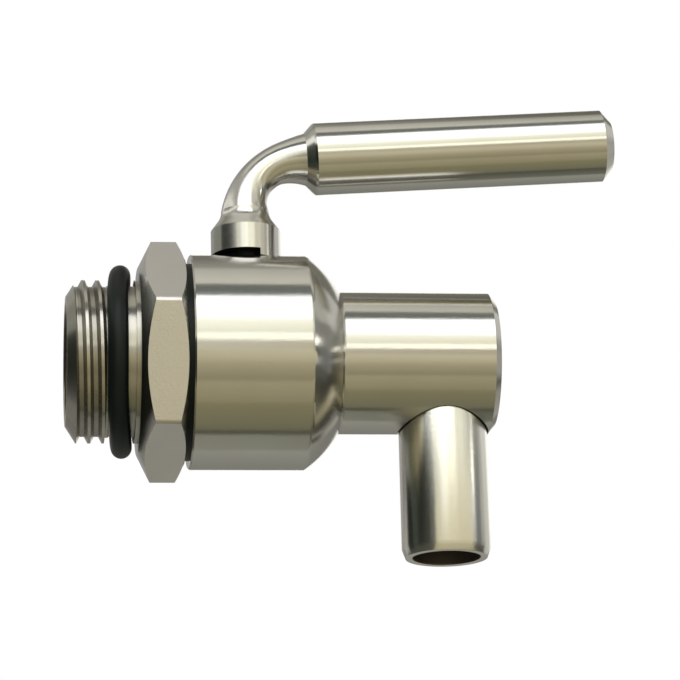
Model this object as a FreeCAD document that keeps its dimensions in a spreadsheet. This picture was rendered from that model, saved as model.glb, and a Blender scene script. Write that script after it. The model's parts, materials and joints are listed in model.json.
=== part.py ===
"""Quarter-turn drum tap: turned barrel with a ball, male inlet thread, bent bar lever and drop spout.

Millimetres, +X along the flow, +Z up the stem, -Y towards the viewer. The origin lies on the flow
axis, half way along the full thread of the inlet. The lever is modelled open, along the flow.
"""
import FreeCAD, Part
import Sketcher
import math
import os

doc = FreeCAD.newDocument("DrumTap")
sheet = doc.addObject("Spreadsheet::Sheet", "Sizes")

DRIVING_SIZES = [
    # Inlet thread and its nose
    ("thread_major_r", 10.4775),
    ("thread_length", 3.6),
    ("nose_chamfer_length", 1.35),
    ("nose_chamfer_depth", 2.1),
    ("inlet_bore_r", 7.25),
    ("inlet_bore_depth", 12.8),
    # Relief behind the thread, which holds the sealing ring
    ("relief_width", 3.8),
    ("relief_depth", 0.73),
    ("band_width", 0.45),
    ("inlet_ring_section", 2.65),
    ("inlet_ring_offset", 2.1),
    # Hexagon
    ("hex_across_flats", 27.0),
    ("hex_thickness", 5.95),
    ("hex_clock", 14.3),
    ("hex_left_chamfer_inset", 1.4),
    ("hex_left_chamfer_slope", 0.5),
    ("hex_right_chamfer_inset", 0.2),
    ("hex_right_chamfer_slope", 0.484),
    # Joint between connector and body
    ("joint_gap", 0.65),
    ("joint_ring_width", 1.67),
    ("spigot_r", 11.0),
    ("spigot_length", 3.4),
    ("spigot_chamfer", 0.4),
    # Barrel, shoulder and neck
    ("barrel_r", 13.85),
    ("barrel_length", 14.9),
    ("barrel_edge_break", 0.2),
    ("shoulder_length", 4.31),
    ("shoulder_crown_r", 13.0),
    ("shoulder_edge_r", 0.5),
    ("neck_r", 9.2),
    ("neck_length", 20.27),
    ("neck_chamfer_length", 0.8),
    ("neck_chamfer_depth", 0.9),
    ("neck_bore_r", 5.0),
    ("neck_end_wall", 2.2),
    # Ball, its chamber and seats
    ("ball_r", 7.0),
    ("ball_bore_r", 4.25),
    ("slot_depth", 1.8),
    ("slot_width", 2.5),
    ("seat_bore_r", 4.6),
    ("seat_r", 6.6),
    ("seat_face", 4.2),
    ("seat_thickness", 3.0),
    ("inlet_seat_stand_out", 0.7),
    # Stem
    ("stem_r", 2.5),
    ("stem_top_r", 2.25),
    ("stem_collar_r", 4.2),
    ("stem_collar_thickness", 1.1),
    ("thrust_washer_thickness", 0.5),
    ("tang_length", 7.0),
    ("stem_ring_section", 1.0),
    ("stem_ring_groove_width", 1.3),
    ("stem_ring_pitch", 1.9),
    ("stem_ring_depth", 1.1),
    # Seat of the lever on the barrel, and its stop
    ("spot_face_depth", 0.75),
    ("spot_face_r", 5.0),
    ("quarter_turn", 90.0),
    ("stop_pin_r", 0.75),
    ("stop_circle_r", 3.7),
    ("stop_pin_depth", 2.0),
    ("notch_height", 0.9),
    ("notch_wall_r", 2.8),
    ("notch_front_end", -70.0),
    # Lever hub
    ("hub_r", 4.53),
    ("hub_height", 4.29),
    ("hub_chamfer_depth", 0.83),
    ("hub_chamfer_height", 1.15),
    ("hub_taper_height", 1.56),
    ("hub_bore_depth", 4.15),
    ("screw_r", 1.5),
    ("screw_height", 2.75),
    ("screw_length", 2.4),
    ("screw_recess", 0.25),
    ("screw_socket_r", 0.85),
    ("screw_socket_depth", 1.2),
    # Lever bend
    ("waist_r", 3.15),
    ("bend_r", 7.12),
    ("bend_angle", 75.0),
    ("sweep_r", 13.45),
    ("arm_middle_r", 2.8),
    ("arm_end_r", 3.45),
    # Lever grip
    ("grip_tilt", 3.53),
    ("flare_length", 1.05),
    ("flare_lip_r", 4.55),
    ("flare_edge_break", 0.25),
    ("grip_r", 4.74),
    ("grip_length", 40.8),
    ("grip_end_chamfer_length", 1.3),
    ("grip_end_chamfer_depth", 1.5),
    # Spout
    ("spout_setback", 6.78),
    ("spout_r", 5.7),
    ("spout_bore_r", 4.3),
    ("spout_way_r", 4.0),
    ("spout_seat_step", 1.2),
    ("spout_land_excess", 0.16),
    ("spout_land_drop", 0.1),
    ("spout_length", 19.52),
    ("spout_chamfer_length", 1.2),
    ("spout_chamfer_depth", 0.45),
    # Clearances
    ("thread_fit", 0.02),
    ("ring_fit", 0.03),
    ("seat_fit", 0.02),
    ("ball_clearance", 0.1),
    ("chamber_clearance", 0.8),
    ("collar_drop", 0.3),
    ("collar_side_gap", 0.2),
    ("collar_running_gap", 0.03),
    ("stem_running_fit", 0.05),
    ("stem_end_gap", 0.3),
    ("tang_fit", 0.05),
    ("nipped_ring_fit", 0.01),
    ("hub_gap", 0.25),
    ("hub_fit", 0.02),
    ("screw_fit", 0.02),
    ("pin_fit", 0.01),
    ("pin_top_gap", 0.2),
    ("stop_play", 2.0),
    ("spout_fit", 0.03),
]

for row, (alias, number) in enumerate(DRIVING_SIZES, start=1):
    sheet.set("A%d" % row, alias.replace("_", " "))
    sheet.set("B%d" % row, str(number))
    sheet.setAlias("B%d" % row, alias)
doc.recompute()


def size(alias):
    """The expression that reads one driving size."""
    return "Sizes." + alias


def total(*terms):
    """The expression that adds its terms up."""
    return " + ".join("(%s)" % term for term in terms)


def less(term, *others):
    """The expression for a term less some others."""
    return "(%s)" % term + "".join(" - (%s)" % other for other in others)


def value(expression):
    """The number that an expression stands for."""
    return float(sheet.evalExpression(expression.replace("Sizes.", "")))


# Places along the flow axis, each from the one before it
nose_end = less("0", size("thread_length") + " / 2", size("nose_chamfer_length"))
thread_start = less("0", size("thread_length") + " / 2")
relief_left = size("thread_length") + " / 2"
relief_right = total(relief_left, size("relief_width"))
hex_left = total(relief_right, size("band_width"))
hex_right = total(hex_left, size("hex_thickness"))
body_left = total(hex_right, size("joint_gap"))
spigot_end = total(hex_right, size("spigot_length"))
stem_x = total(spigot_end, size("inlet_seat_stand_out"), size("seat_face"))
barrel_end = total(body_left, size("barrel_length"))
shoulder_end = total(barrel_end, size("shoulder_length"))
neck_end = total(shoulder_end, size("neck_length"))
neck_bore_end = less(neck_end, size("neck_end_wall"))
spout_x = less(neck_end, size("spout_setback"))
inlet_seat_back = less(stem_x, size("seat_face"), size("seat_thickness"))
outlet_seat_front = total(stem_x, size("seat_face"))
outlet_seat_back = total(outlet_seat_front, size("seat_thickness"))
bore_end = total(nose_end, size("inlet_bore_depth"))
bore_cone_end = total(bore_end, less(size("inlet_bore_r"), size("seat_bore_r")))

# Heights from the flow axis
slot_floor = less(size("ball_r"), size("slot_depth"))
collar_bottom = total(size("ball_r"), size("collar_drop"))
collar_top = total(collar_bottom, size("stem_collar_thickness"))
washer_bottom = total(collar_top, size("collar_running_gap"))
washer_top = total(washer_bottom, size("thrust_washer_thickness"))
spot_face = less(size("barrel_r"), size("spot_face_depth"))
upper_ring_z = less(spot_face, size("stem_ring_depth"))
lower_ring_z = less(upper_ring_z, size("stem_ring_pitch"))
hub_bottom = total(spot_face, size("hub_gap"))
notch_top = total(hub_bottom, size("notch_height"))
screw_z = total(hub_bottom, size("screw_height"))
hub_bore_top = total(hub_bottom, size("hub_bore_depth"))
stem_top = less(hub_bore_top, size("stem_end_gap"))
hub_top = total(hub_bottom, size("hub_height"))
hub_chamfer_top = total(hub_top, size("hub_chamfer_height"))
bend_start = total(hub_chamfer_top, size("hub_taper_height"))
spout_seat = less("0", size("neck_bore_r"), size("spout_seat_step"))
spout_land_end = less("0", size("neck_r"), size("spout_land_drop"))
spout_bottom = less(spout_seat, size("spout_length"))

# Radii of what fits together
relief_r = less(size("thread_major_r"), size("relief_depth"))
inlet_ring_r = total(relief_r, size("ring_fit"), size("inlet_ring_section") + " / 2")
seat_pocket_r = total(size("seat_r"), size("seat_fit"))
chamber_r = total(size("ball_r"), size("chamber_clearance"))
collar_pocket_r = total(size("stem_collar_r"), size("collar_side_gap"))
stem_bore_r = total(size("stem_r"), size("stem_running_fit"))
ring_groove_r = less(stem_bore_r, size("stem_ring_section"), "2 * Sizes.nipped_ring_fit")
hub_bore_r = total(size("stem_top_r"), size("hub_fit"))
screw_hole_r = total(size("screw_r"), size("screw_fit"))
spout_land_r = total(size("spout_r"), size("spout_land_excess"))
screw_face = less(size("hub_r"), size("screw_recess"))
screw_tip = less(screw_face, size("screw_length"))

# The notch gives the pin a quarter turn and a little play at each end
pin_half_angle = "asin(Sizes.stop_pin_r / Sizes.stop_circle_r) / 1 deg"
notch_sweep = total(size("quarter_turn"), "2 * (%s)" % pin_half_angle, "2 * Sizes.stop_play")
notch_far_end = less(size("notch_front_end"), notch_sweep)
pin_azimuth = total(notch_far_end, pin_half_angle, size("stop_play"))
pin_x = "Sizes.stop_circle_r * cos(%s)" % pin_azimuth
pin_y = "Sizes.stop_circle_r * sin(%s)" % pin_azimuth

# The lever's centreline: a tight bend, then a wider one, up to the tilt of the grip
bend_end_x = "Sizes.bend_r * (1 - cos(Sizes.bend_angle))"
bend_end_z = total(bend_start, "Sizes.bend_r * sin(Sizes.bend_angle)")
sweep_centre_x = total(bend_end_x, "Sizes.sweep_r * cos(Sizes.bend_angle)")
sweep_centre_z = less(bend_end_z, "Sizes.sweep_r * sin(Sizes.bend_angle)")
grip_x = less(sweep_centre_x, "Sizes.sweep_r * sin(Sizes.grip_tilt)")
grip_z = total(sweep_centre_z, "Sizes.sweep_r * cos(Sizes.grip_tilt)")


def bind(thing, **expressions):
    """Tie properties of an object to expressions; a double underscore stands for a dot."""
    for name, expression in expressions.items():
        thing.setExpression(name.replace("__", "."), expression)
    return thing


def new_body(label):
    """An empty body whose label names the piece."""
    body = doc.addObject("PartDesign::Body", label)
    body.Label = label
    return body


def sketch_on(body, role, name, offset=None):
    """A sketch on one of the body's own origin planes, raised along its normal by an expression."""
    sketch = body.newObject("Sketcher::SketchObject", name)
    plane = [item for item in body.Origin.OriginFeatures if item.Role == role][0]
    sketch.AttachmentSupport = [(plane, "")]
    sketch.MapMode = "FlatFace"
    if offset is not None:
        sketch.setExpression("AttachmentOffset.Base.z", offset)
        doc.recompute()
    return sketch


def vector(x_expression, y_expression):
    """A point of a sketch from two expressions."""
    return FreeCAD.Vector(value(x_expression), value(y_expression), 0)


def drive(sketch, kind, geometry, point, expression):
    """Hold a point's distance from the sketch's origin to an expression."""
    index = sketch.addConstraint(
        Sketcher.Constraint(kind, -1, 1, geometry, point, value(expression))
    )
    sketch.setExpression("Constraints[%d]" % index, expression)


def arc_between(start, end, centre, turn):
    """An arc about a centre, from start to end, anticlockwise for a turn of 1."""
    first, last = (start, end) if turn > 0 else (end, start)
    circle = Part.Circle(centre, FreeCAD.Vector(0, 0, 1), (start - centre).Length)
    return Part.ArcOfCircle(circle, circle.parameter(first), circle.parameter(last))


def start_point(corner):
    """Which end of the edge lies at its own corner: an arc is stored anticlockwise."""
    return 2 if len(corner) == 3 and corner[2][2] < 0 else 1


def end_point(corner):
    """Which end of the edge lies at the next corner."""
    return 3 - start_point(corner)


def coordinates_to_hold(corner, previous):
    """Whether a corner's x and y are driven: the end of an arc needs only the one it is sure of."""
    if len(previous) == 2:
        return True, True
    reach = vector(corner[0], corner[1]) - vector(previous[2][0], previous[2][1])
    upright = abs(reach.x) > abs(reach.y)
    return not upright, upright


def outline(sketch, corners):
    """A closed outline of straight edges and arcs.

    Each corner is (x, y) or (x, y, (centre x, centre y, turn)), where the third item makes the edge
    that leaves the corner an arc: turn is 1 for anticlockwise and -1 for clockwise.
    """
    count = len(corners)
    for index, corner in enumerate(corners):
        start = vector(corner[0], corner[1])
        following = corners[(index + 1) % count]
        end = vector(following[0], following[1])
        if len(corner) == 2:
            sketch.addGeometry(Part.LineSegment(start, end))
            continue
        centre = vector(corner[2][0], corner[2][1])
        sketch.addGeometry(arc_between(start, end, centre, corner[2][2]))
    for index, corner in enumerate(corners):
        following = (index + 1) % count
        sketch.addConstraint(
            Sketcher.Constraint(
                "Coincident", index, end_point(corner), following, start_point(corners[following])
            )
        )
    for index, corner in enumerate(corners):
        across, upright = coordinates_to_hold(corner, corners[index - 1])
        if across:
            drive(sketch, "DistanceX", index, start_point(corner), corner[0])
        if upright:
            drive(sketch, "DistanceY", index, start_point(corner), corner[1])
        if len(corner) == 3:
            drive(sketch, "DistanceX", index, 3, corner[2][0])
            drive(sketch, "DistanceY", index, 3, corner[2][1])


def rectangle(left, low, right, high):
    """The four corners of an upright rectangle."""
    return [(left, low), (right, low), (right, high), (left, high)]


def circle_sketch(body, name, radius, centre=("0", "0"), offset=None):
    """A sketch of one circle, level with the flow axis or raised above it."""
    sketch = sketch_on(body, "XY_Plane", name, offset)
    centre_point = vector(centre[0], centre[1])
    sketch.addGeometry(Part.Circle(centre_point, FreeCAD.Vector(0, 0, 1), value(radius)))
    held = sketch.addConstraint(Sketcher.Constraint("Radius", 0, value(radius)))
    sketch.setExpression("Constraints[%d]" % held, radius)
    drive(sketch, "DistanceX", 0, 3, centre[0])
    drive(sketch, "DistanceY", 0, 3, centre[1])
    return sketch


def turn(body, kind, name, corners, axis="H_Axis"):
    """Revolve an outline in the XZ plane about a sketch axis, to add or to groove."""
    sketch = sketch_on(body, "XZ_Plane", name + "_outline")
    outline(sketch, corners)
    feature = body.newObject("PartDesign::" + kind, name)
    feature.Profile = sketch
    feature.ReferenceAxis = (sketch, [axis])
    feature.Angle = 360
    doc.recompute()
    return feature


def extrude(body, name, sketch, length, reverse=False):
    """Pad a sketch by a length."""
    pad = body.newObject("PartDesign::Pad", name)
    pad.Profile = sketch
    pad.Reversed = reverse
    bind(pad, Length=length)
    doc.recompute()
    return pad


def cut_away(body, name, sketch, length, upwards):
    """Pocket a sketch by a length, up or down its normal, and see that it removed something."""
    before = body.Shape.Volume
    pocket = body.newObject("PartDesign::Pocket", name)
    pocket.Profile = sketch
    pocket.Type = "Length"
    pocket.Reversed = upwards
    bind(pocket, Length=length)
    doc.recompute()
    if not body.Shape.Volume < before - 1e-6:
        raise RuntimeError(name + " cuts nothing")
    return pocket


def round_edges(shape, place, radius):
    """Names of the round edges about the flow axis at a place and of a radius."""
    names = []
    for number, edge in enumerate(shape.Edges, start=1):
        curve = edge.Curve
        if not isinstance(curve, Part.Circle):
            continue
        same_place = abs(curve.Center.x - value(place)) < 1e-4
        if same_place and abs(curve.Radius - value(radius)) < 1e-4:
            names.append("Edge%d" % number)
    return names


def make_body():
    """Barrel, shoulder and neck, with the ball's chamber, the flow bore and the seat's pocket."""
    body = new_body("body")
    fall = less(size("barrel_r"), size("neck_r"))
    chord = "sqrt(Sizes.shoulder_length ^ 2 + (%s) ^ 2)" % fall
    depth = "sqrt(Sizes.shoulder_crown_r ^ 2 - (%s) ^ 2 / 4) / (%s)" % (chord, chord)
    shoulder_centre = (
        "%s + Sizes.shoulder_length / 2 - (%s) * (%s)" % (barrel_end, depth, fall),
        "(Sizes.barrel_r + Sizes.neck_r) / 2 - (%s) * Sizes.shoulder_length" % depth,
        -1,
    )
    barrel = turn(
        body,
        "Revolution",
        "barrel",
        [
            (body_left, "0"),
            (body_left, less(size("barrel_r"), size("barrel_edge_break"))),
            (total(body_left, size("barrel_edge_break")), size("barrel_r")),
            (barrel_end, size("barrel_r"), shoulder_centre),
            (shoulder_end, size("neck_r")),
            (less(neck_end, size("neck_chamfer_length")), size("neck_r")),
            (neck_end, less(size("neck_r"), size("neck_chamfer_depth"))),
            (neck_end, "0"),
        ],
    )
    edges = round_edges(body.Shape, barrel_end, size("barrel_r"))
    edges += round_edges(body.Shape, shoulder_end, size("neck_r"))
    rounding = body.newObject("PartDesign::Fillet", "shoulder_edges")
    rounding.Base = (barrel, edges)
    bind(rounding, Radius=size("shoulder_edge_r"))
    doc.recompute()
    turn(
        body,
        "Groove",
        "chamber",
        [
            (body_left, "0"),
            (body_left, size("spigot_r")),
            (spigot_end, size("spigot_r")),
            (spigot_end, chamber_r),
            (outlet_seat_front, chamber_r),
            (outlet_seat_front, seat_pocket_r),
            (outlet_seat_back, seat_pocket_r),
            (outlet_seat_back, size("neck_bore_r")),
            (neck_bore_end, size("neck_bore_r")),
            (neck_bore_end, "0"),
        ],
    )
    cut_stem_seat(body)
    cut_spout_seat(body)
    return body


def cut_stem_seat(body):
    """Spot face, stem bore, collar pocket and the stop pin's hole in the top of the barrel."""
    centre = (stem_x, "0")
    face = circle_sketch(body, "spot_face_circle", size("spot_face_r"), centre, spot_face)
    cut_away(body, "spot_face", face, size("spot_face_depth"), True)
    bore = circle_sketch(body, "stem_bore_circle", stem_bore_r, centre)
    cut_away(body, "stem_bore", bore, size("barrel_r"), True)
    pocket = circle_sketch(body, "collar_pocket_circle", collar_pocket_r, centre)
    cut_away(body, "collar_pocket", pocket, washer_top, True)
    pin_centre = (total(stem_x, pin_x), pin_y)
    pin_hole_r = total(size("stop_pin_r"), size("pin_fit"))
    pin_hole = circle_sketch(body, "stop_pin_circle", pin_hole_r, pin_centre, spot_face)
    cut_away(body, "stop_pin_hole", pin_hole, size("stop_pin_depth"), False)


def cut_spout_seat(body):
    """Seat for the spout tube under the neck, and the way from the neck bore into the tube."""
    centre = (spout_x, "0")
    seat_hole_r = total(spout_land_r, size("spout_fit"))
    seat = circle_sketch(body, "spout_seat_circle", seat_hole_r, centre, spout_seat)
    cut_away(body, "spout_seat", seat, size("neck_r"), False)
    way = circle_sketch(body, "spout_way_circle", size("spout_way_r"), centre)
    cut_away(body, "spout_way", way, size("neck_r"), False)


def make_hexagon(body):
    """Hexagon with one flat turned down from the front by the clock angle, chamfered both sides."""
    sketch = sketch_on(body, "YZ_Plane", "hexagon_outline", hex_left)
    reach = "Sizes.hex_across_flats / 2 / cos(30) * "
    angles = ["(%d + Sizes.hex_clock)" % (60 * index + 30) for index in range(6)]
    outline(sketch, [(reach + "cos" + angle, reach + "sin" + angle) for angle in angles])
    extrude(body, "hexagon", sketch, size("hex_thickness"))
    outside = size("hex_across_flats")
    flat = "Sizes.hex_across_flats / 2"
    left_r = less(flat, size("hex_left_chamfer_inset"))
    right_r = less(flat, size("hex_right_chamfer_inset"))
    left_reach = "Sizes.hex_left_chamfer_slope * (%s)" % less(outside, left_r)
    right_reach = "Sizes.hex_right_chamfer_slope * (%s)" % less(outside, right_r)
    turn(
        body,
        "Groove",
        "hexagon_left_chamfer",
        [(hex_left, left_r), (total(hex_left, left_reach), outside), (hex_left, outside)],
    )
    turn(
        body,
        "Groove",
        "hexagon_right_chamfer",
        [(hex_right, right_r), (hex_right, outside), (less(hex_right, right_reach), outside)],
    )


def make_inlet_connector():
    """Hexagon with the male thread's nose on one side and the spigot on the other."""
    body = new_body("inlet_connector")
    make_hexagon(body)
    plain_spigot_r = less(size("spigot_r"), size("thread_fit"))
    turn(
        body,
        "Revolution",
        "nose_and_spigot",
        [
            (nose_end, "0"),
            (nose_end, less(size("thread_major_r"), size("nose_chamfer_depth"))),
            (thread_start, size("thread_major_r")),
            (relief_left, size("thread_major_r")),
            (relief_left, relief_r),
            (relief_right, relief_r),
            (relief_right, size("thread_major_r")),
            (hex_right, size("thread_major_r")),
            (hex_right, plain_spigot_r),
            (less(spigot_end, size("spigot_chamfer")), plain_spigot_r),
            (spigot_end, less(plain_spigot_r, size("spigot_chamfer"))),
            (spigot_end, "0"),
        ],
    )
    turn(
        body,
        "Groove",
        "inlet_bore",
        [
            (nose_end, "0"),
            (nose_end, size("inlet_bore_r")),
            (bore_end, size("inlet_bore_r")),
            (bore_cone_end, size("seat_bore_r")),
            (inlet_seat_back, size("seat_bore_r")),
            (inlet_seat_back, seat_pocket_r),
            (spigot_end, seat_pocket_r),
            (spigot_end, "0"),
        ],
    )
    return body


def make_inlet_o_ring():
    """Sealing ring in the relief behind the thread."""
    torus = doc.addObject("Part::Torus", "inlet_o_ring")
    torus.Placement.Rotation = FreeCAD.Rotation(FreeCAD.Vector(0, 1, 0), 90)
    bind(
        torus,
        Radius1=inlet_ring_r,
        Radius2=size("inlet_ring_section") + " / 2",
        Placement__Base__x=total(relief_left, size("inlet_ring_offset")),
    )
    return torus


def make_joint_ring():
    """Thin ring nipped between the hexagon and the body, round the spigot."""
    body = new_body("joint_ring")
    inner = total(size("spigot_r"), size("ring_fit"))
    outer = total(inner, size("joint_ring_width"))
    turn(body, "Revolution", "joint_ring_turned", rectangle(hex_right, inner, body_left, outer))
    return body


def make_seat_ring(label, side):
    """Seat ring with a face hollowed to the ball; side is 1 at the outlet and -1 at the inlet."""
    hollow_r = total(size("ball_r"), size("ball_clearance"))
    lip_r = "sqrt((%s) ^ 2 - Sizes.seat_face ^ 2)" % hollow_r
    throat = "sqrt((%s) ^ 2 - Sizes.seat_bore_r ^ 2)" % hollow_r
    front = "%d * Sizes.seat_face" % side
    back = "%d * (Sizes.seat_face + Sizes.seat_thickness)" % side
    body = new_body(label)
    turn(
        body,
        "Revolution",
        label + "_turned",
        [
            (front, lip_r, ("0", "0", -side)),
            ("%d * %s" % (side, throat), size("seat_bore_r")),
            (back, size("seat_bore_r")),
            (back, size("seat_r")),
            (front, size("seat_r")),
        ],
    )
    return bind(body, Placement__Base__x=stem_x)


def make_ball():
    """Ball with its flow bore, and the slot across it that the stem's tang turns."""
    sphere = bind(doc.addObject("Part::Sphere", "ball_sphere"), Radius=size("ball_r"))
    bore = doc.addObject("Part::Cylinder", "ball_bore")
    bore.Placement.Rotation = FreeCAD.Rotation(FreeCAD.Vector(0, 1, 0), 90)
    bind(
        bore,
        Radius=size("ball_bore_r"),
        Height="4 * Sizes.ball_r",
        Placement__Base__x="-2 * Sizes.ball_r",
    )
    slot = doc.addObject("Part::Box", "ball_slot")
    bind(
        slot,
        Length=size("slot_width"),
        Width="2 * Sizes.ball_r",
        Height=size("ball_r"),
        Placement__Base__x="-Sizes.slot_width / 2",
        Placement__Base__y="-Sizes.ball_r",
        Placement__Base__z=slot_floor,
    )
    cuts = doc.addObject("Part::MultiFuse", "ball_cuts")
    cuts.Shapes = [bore, slot]
    ball = doc.addObject("Part::Cut", "ball")
    ball.Base = sphere
    ball.Tool = cuts
    return bind(ball, Placement__Base__x=stem_x)


def make_stem():
    """Stem with a collar that can't blow out, two ring grooves, a tang below and a flat above."""
    body = new_body("stem")
    half_groove = size("stem_ring_groove_width") + " / 2"
    grooves = []
    for height in (lower_ring_z, upper_ring_z):
        grooves += [
            (size("stem_r"), less(height, half_groove)),
            (ring_groove_r, less(height, half_groove)),
            (ring_groove_r, total(height, half_groove)),
            (size("stem_r"), total(height, half_groove)),
        ]
    collar = [
        ("0", collar_bottom),
        (size("stem_collar_r"), collar_bottom),
        (size("stem_collar_r"), collar_top),
        (size("stem_r"), collar_top),
    ]
    top = [
        (size("stem_r"), spot_face),
        (size("stem_top_r"), spot_face),
        (size("stem_top_r"), stem_top),
        ("0", stem_top),
    ]
    turn(body, "Revolution", "stem_turned", collar + grooves + top, "V_Axis")
    half_width = less(size("slot_width") + " / 2", size("tang_fit"))
    half_length = size("tang_length") + " / 2"
    tang = sketch_on(body, "XY_Plane", "tang_outline", collar_bottom)
    outline(tang, rectangle(less("0", half_width), less("0", half_length), half_width, half_length))
    tang_height = less(collar_bottom, slot_floor, size("tang_fit"))
    extrude(body, "tang", tang, tang_height, reverse=True)
    flat_y = less(screw_tip, size("screw_fit"))
    flat = sketch_on(body, "XZ_Plane", "screw_flat_outline", less("0", flat_y))
    flat_bottom = less(screw_z, screw_hole_r)
    outline(flat, rectangle(less("0", size("stem_r")), flat_bottom, size("stem_r"), stem_top))
    cut_away(body, "screw_flat", flat, size("stem_r"), False)
    return bind(body, Placement__Base__x=stem_x)


def make_stem_o_ring(label, height):
    """One of the two rings that seal the stem, in its groove."""
    torus = doc.addObject("Part::Torus", label)
    mean_r = total(ring_groove_r, size("nipped_ring_fit"), size("stem_ring_section") + " / 2")
    return bind(
        torus,
        Radius1=mean_r,
        Radius2=size("stem_ring_section") + " / 2",
        Placement__Base__x=stem_x,
        Placement__Base__z=height,
    )


def make_thrust_washer():
    """Washer between the stem's collar and the roof of its pocket."""
    body = new_body("stem_thrust_washer")
    inner = total(size("stem_r"), "2 * Sizes.stem_running_fit")
    section = rectangle(inner, washer_bottom, size("stem_collar_r"), washer_top)
    turn(body, "Revolution", "washer_turned", section, "V_Axis")
    return bind(body, Placement__Base__x=stem_x)


def make_stop_pin():
    """Pin that stands out of the spot face into the hub's notch."""
    foot = less(spot_face, size("stop_pin_depth"))
    pin = doc.addObject("Part::Cylinder", "stop_pin")
    return bind(
        pin,
        Radius=size("stop_pin_r"),
        Height=less(notch_top, size("pin_top_gap"), foot),
        Placement__Base__x=total(stem_x, pin_x),
        Placement__Base__y=pin_y,
        Placement__Base__z=foot,
    )


def make_spout_tube():
    """Drop tube, let into its seat under the neck on a land a little larger than the rest of it."""
    body = new_body("spout_tube")
    turn(
        body,
        "Revolution",
        "spout_turned",
        [
            (size("spout_bore_r"), spout_seat),
            (size("spout_bore_r"), spout_bottom),
            (less(size("spout_r"), size("spout_chamfer_depth")), spout_bottom),
            (size("spout_r"), total(spout_bottom, size("spout_chamfer_length"))),
            (size("spout_r"), spout_land_end),
            (spout_land_r, spout_land_end),
            (spout_land_r, spout_seat),
        ],
        "V_Axis",
    )
    return bind(body, Placement__Base__x=spout_x)


def make_lever_hub():
    """Hub up to the waist, with the stem's bore and the notch that the stop pin stands in."""
    body = new_body("lever_hub")
    chamfer_r = less(size("hub_r"), size("hub_chamfer_depth"))
    fall = less(chamfer_r, size("waist_r"))
    taper_r = "((%s) ^ 2 + Sizes.hub_taper_height ^ 2) / (2 * (%s))" % (fall, fall)
    taper_centre = (total(size("waist_r"), taper_r), bend_start, -1)
    turn(
        body,
        "Revolution",
        "hub_turned",
        [
            ("0", hub_bottom),
            (size("hub_r"), hub_bottom),
            (size("hub_r"), hub_top),
            (chamfer_r, hub_chamfer_top, taper_centre),
            (size("waist_r"), bend_start),
            ("0", bend_start),
        ],
        "V_Axis",
    )
    bore = circle_sketch(body, "hub_bore_circle", hub_bore_r)
    cut_away(body, "hub_bore", bore, hub_bore_top, True)
    section = sketch_on(body, "XZ_Plane", "stop_notch_outline")
    section.AttachmentOffset = FreeCAD.Placement(
        FreeCAD.Vector(), FreeCAD.Rotation(FreeCAD.Vector(0, 1, 0), value(notch_far_end))
    )
    bind(section, AttachmentOffset__Rotation__Angle=notch_far_end)
    outline(section, rectangle(size("notch_wall_r"), "0", "2 * Sizes.hub_r", notch_top))
    notch = body.newObject("PartDesign::Groove", "stop_notch")
    notch.Profile = section
    notch.ReferenceAxis = (section, ["V_Axis"])
    bind(notch, Angle=notch_sweep)
    doc.recompute()
    return body


def arm_circle(name, radius, place, turned):
    """A section of the arm, square to its centreline where that has turned from upright."""
    circle = doc.addObject("Part::Circle", name)
    circle.Placement.Rotation = FreeCAD.Rotation(FreeCAD.Vector(0, 1, 0), value(turned))
    return bind(
        circle,
        Radius=radius,
        Placement__Base__x=place[0],
        Placement__Base__z=place[1],
        Placement__Rotation__Angle=turned,
    )


def make_lever_arm():
    """The bent stretch between the waist and the grip, thinnest where the two bends meet."""
    upright = FreeCAD.Vector(0, 1, 0)
    start = FreeCAD.Vector(0, 0, value(bend_start))
    tight = Part.Circle(
        FreeCAD.Vector(value(size("bend_r")), 0, value(bend_start)), upright, value(size("bend_r"))
    )
    wide = Part.Circle(
        FreeCAD.Vector(value(sweep_centre_x), 0, value(sweep_centre_z)),
        upright,
        value(size("sweep_r")),
    )
    meeting = FreeCAD.Vector(value(bend_end_x), 0, value(bend_end_z))
    end = FreeCAD.Vector(value(grip_x), 0, value(grip_z))
    spine = doc.addObject("Part::Feature", "arm_centreline")
    spine.Shape = Part.Wire([arc_on(tight, start, meeting), arc_on(wide, meeting, end)])
    waist = bind(
        doc.addObject("Part::Circle", "arm_waist_circle"),
        Radius=size("waist_r"),
        Placement__Base__z=bend_start,
    )
    middle = arm_circle(
        "arm_middle_circle", size("arm_middle_r"), (bend_end_x, bend_end_z), size("bend_angle")
    )
    neck = arm_circle(
        "arm_end_circle", size("arm_end_r"), (grip_x, grip_z), "90 - Sizes.grip_tilt"
    )
    arm = doc.addObject("Part::Sweep", "lever_arm")
    arm.Sections = [waist, middle, neck]
    arm.Spine = (spine, ["Edge1", "Edge2"])
    arm.Solid = True
    arm.Frenet = False
    doc.recompute()
    return arm


def arc_on(circle, start, end):
    """The shorter arc of a circle between two of its points, run from start to end."""
    first = circle.parameter(start)
    last = circle.parameter(end)
    if last < first:
        last += 2 * math.pi
    return Part.ArcOfCircle(circle, first, last).toShape()


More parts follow.
